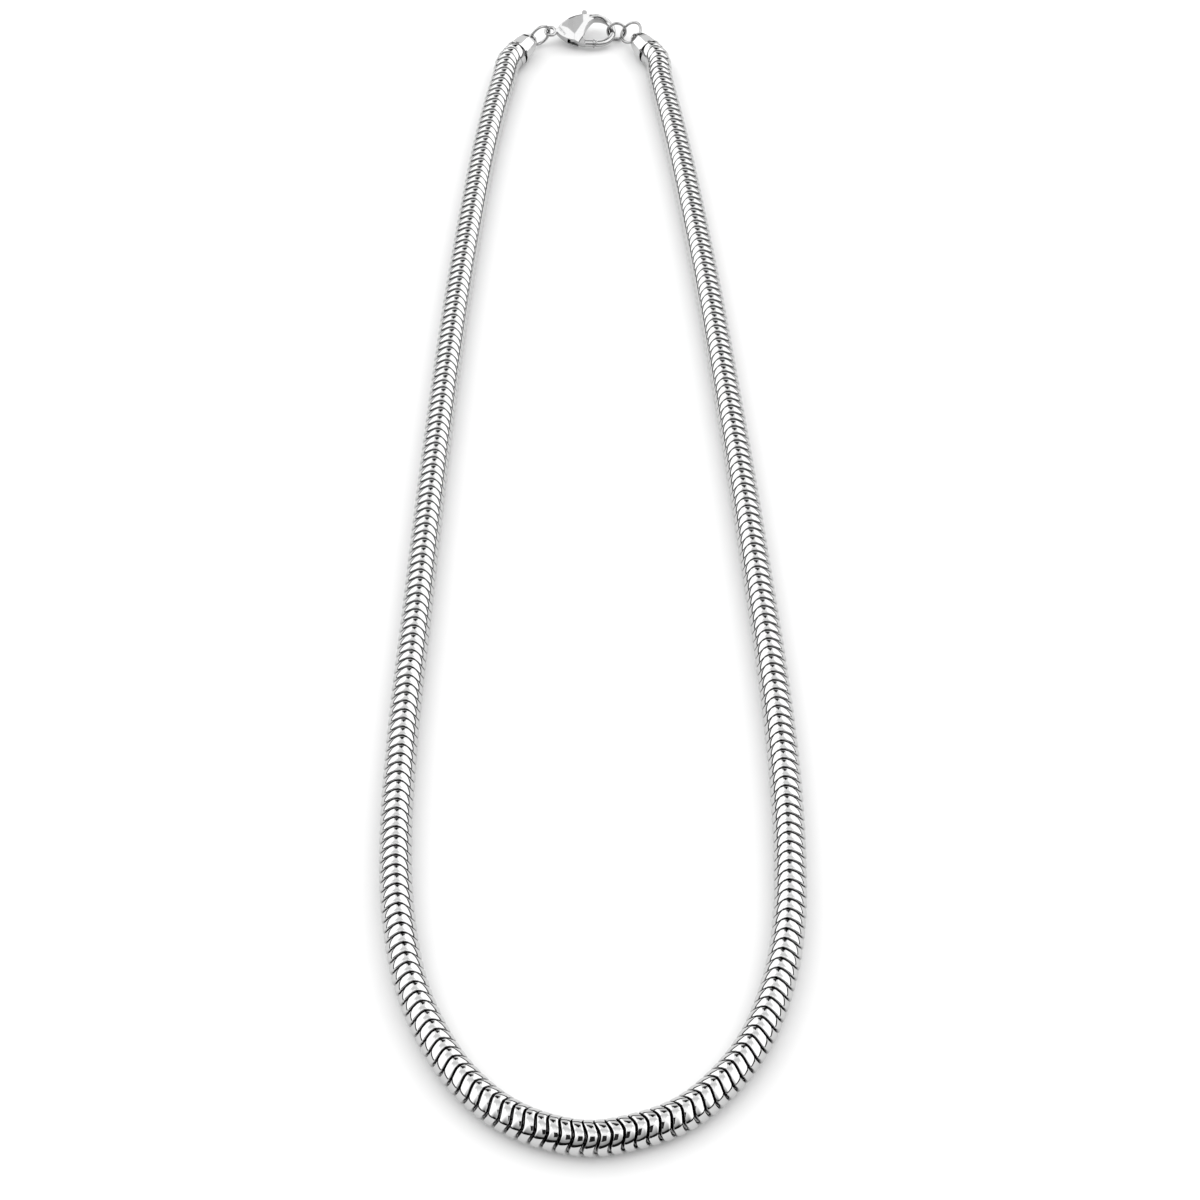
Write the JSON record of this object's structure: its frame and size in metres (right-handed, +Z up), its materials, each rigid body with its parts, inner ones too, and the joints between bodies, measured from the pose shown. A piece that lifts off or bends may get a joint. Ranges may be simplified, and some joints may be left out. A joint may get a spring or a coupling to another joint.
{
  "type": "snake chain necklace",
  "caption": "Round snake chain neck loop lying flat, closed by bullet shaped end caps, jump rings and a lobster clasp with a turning lever.",
  "frame": {"origin": "Middle of the outline seen from above, on the surface that the necklace lies on.", "axes": "+X across the loop to the wearer's right hand cap, +Y from the round neck curve to the clasp, +Z up."},
  "size_m": [0.0654, 0.2602, 0.0054],
  "materials": {
    "chain_links": "polished rhodium tone steel",
    "caps": "polished rhodium tone steel",
    "ring_wire": "polished rhodium tone wire",
    "clasp_cast": "polished cast steel"
  },
  "bodies": {
    "necklace": {"snake_chain": "chain_links", "end_cap_left": "caps", "end_cap_right": "caps", "jump_ring_left": "ring_wire", "jump_ring_right": "ring_wire", "clasp_ring": "ring_wire", "clasp_body": "clasp_cast", "clasp_pin": "clasp_cast"},
    "lever": {"clasp_lever": "clasp_cast"}
  },
  "joints": [
    {"name": "lever_hinge", "type": "hinge", "parent": "necklace", "child": "lever", "pos_m": [-0.00428, 0.12339, 0.00225], "axis": [0.0857, -0.2552, 0.9631], "range_deg": [0, 22], "stiffness_Nm_per_rad": 0.0002}
  ]
}
